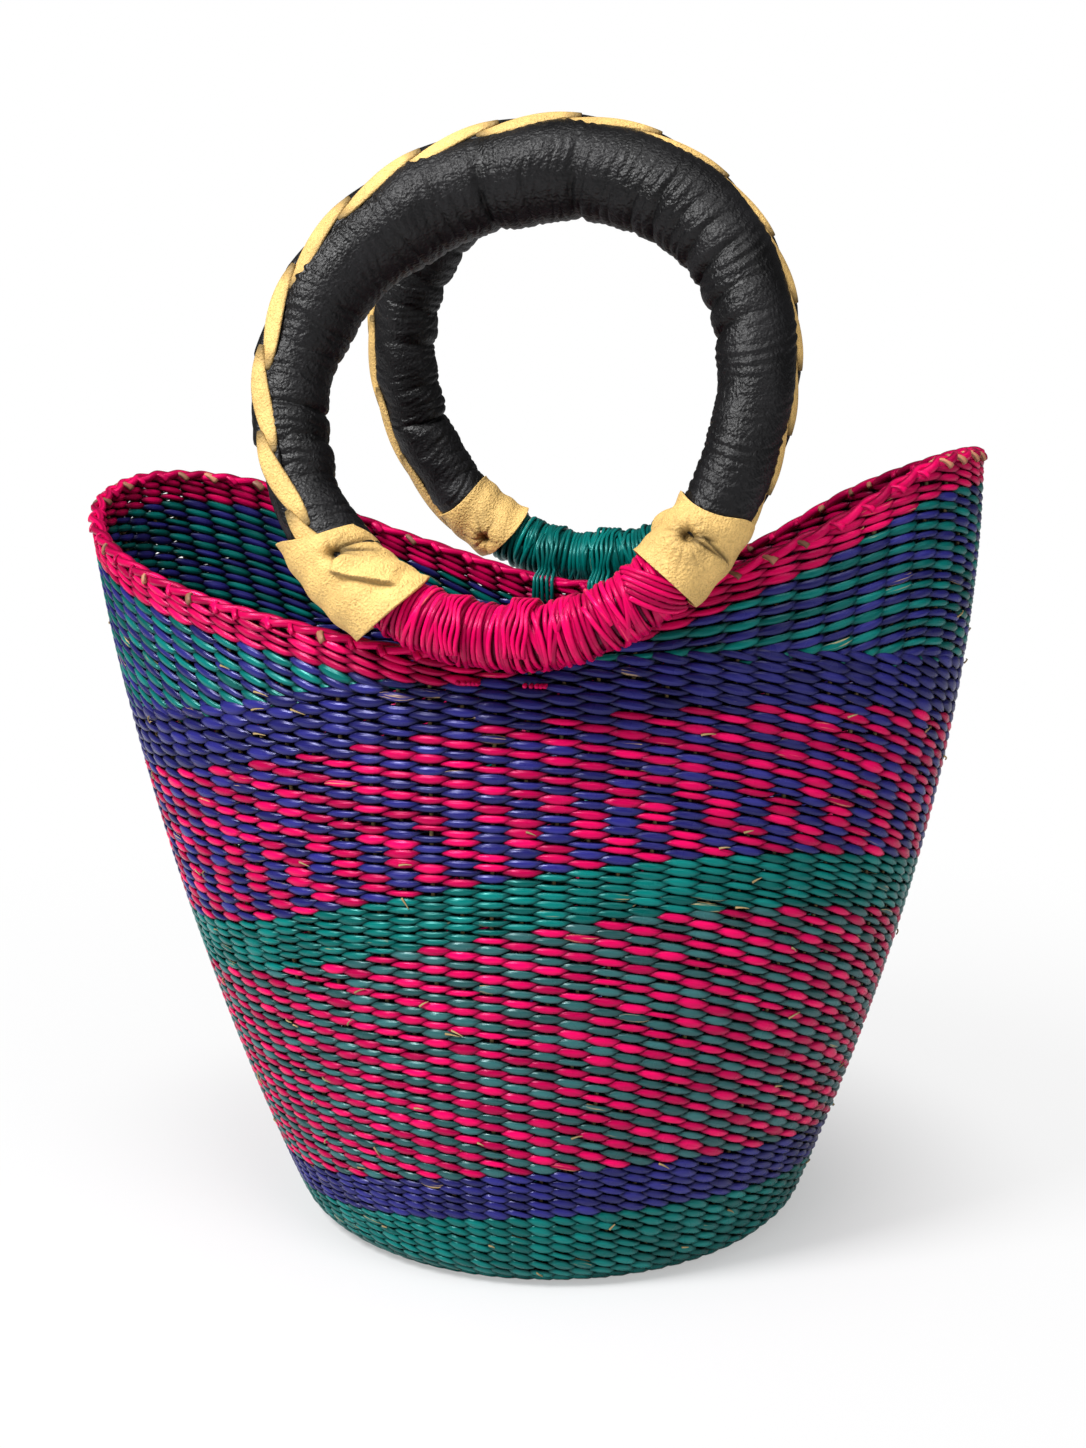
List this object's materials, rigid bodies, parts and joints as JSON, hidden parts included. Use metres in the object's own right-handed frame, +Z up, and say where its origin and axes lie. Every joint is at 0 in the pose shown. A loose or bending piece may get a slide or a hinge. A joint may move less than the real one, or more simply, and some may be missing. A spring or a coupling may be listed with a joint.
{
  "type": "bolga basket",
  "caption": "Handwoven U-shaped straw basket with a round base, raised wings and two folding leather-covered hoop handles.",
  "frame": {"origin": "on the floor, under the middle of the whole basket's box", "axes": "+X along the mouth towards the right wing, -Y towards the front handle, +Z up"},
  "size_m": [0.4156, 0.2689, 0.4958],
  "materials": {
    "pink_straw": "dyed elephant grass, soft sheen",
    "blue_straw": "dyed elephant grass, soft sheen",
    "green_straw": "dyed elephant grass, soft sheen",
    "plain_straw": "undyed elephant grass, matte",
    "black_leather": "grained, soft gloss",
    "tan_leather": "natural, satin"
  },
  "bodies": {
    "basket": {"base_disc": "green_straw", "foot_green_band": "green_straw", "lower_blue_band": "blue_straw", "lower_check_band": "pink_straw", "middle_green_band": "green_straw", "upper_check_band": "pink_straw", "shoulder_blue_band": "blue_straw", "left_wing_stripes": "green_straw", "right_wing_stripes": "green_straw", "rim_pink_band": "pink_straw", "rim_border": "plain_straw", "front_tie_left": "pink_straw", "front_tie_right": "pink_straw", "rear_tie_left": "green_straw", "rear_tie_right": "green_straw"},
    "front_handle": {"front_hoop_core": "plain_straw", "front_leather_sleeve": "black_leather", "front_cuff_left": "tan_leather", "front_cuff_right": "tan_leather", "front_straw_winding": "pink_straw", "front_braid_tan": "tan_leather", "front_braid_black": "black_leather"},
    "rear_handle": {"rear_hoop_core": "plain_straw", "rear_leather_sleeve": "black_leather", "rear_cuff_left": "tan_leather", "rear_cuff_right": "tan_leather", "rear_straw_winding": "green_straw", "rear_braid_tan": "tan_leather", "rear_braid_black": "black_leather"}
  },
  "joints": [
    {"name": "front_handle_fold", "type": "hinge", "parent": "basket", "child": "front_handle", "pos_m": [0.0301, -0.1166, 0.28], "axis": [1, 0, 0], "range_deg": [0, 110]},
    {"name": "rear_handle_fold", "type": "hinge", "parent": "basket", "child": "rear_handle", "pos_m": [0.0004, 0.1166, 0.28], "axis": [-1, 0, 0], "range_deg": [-20, 110]}
  ]
}
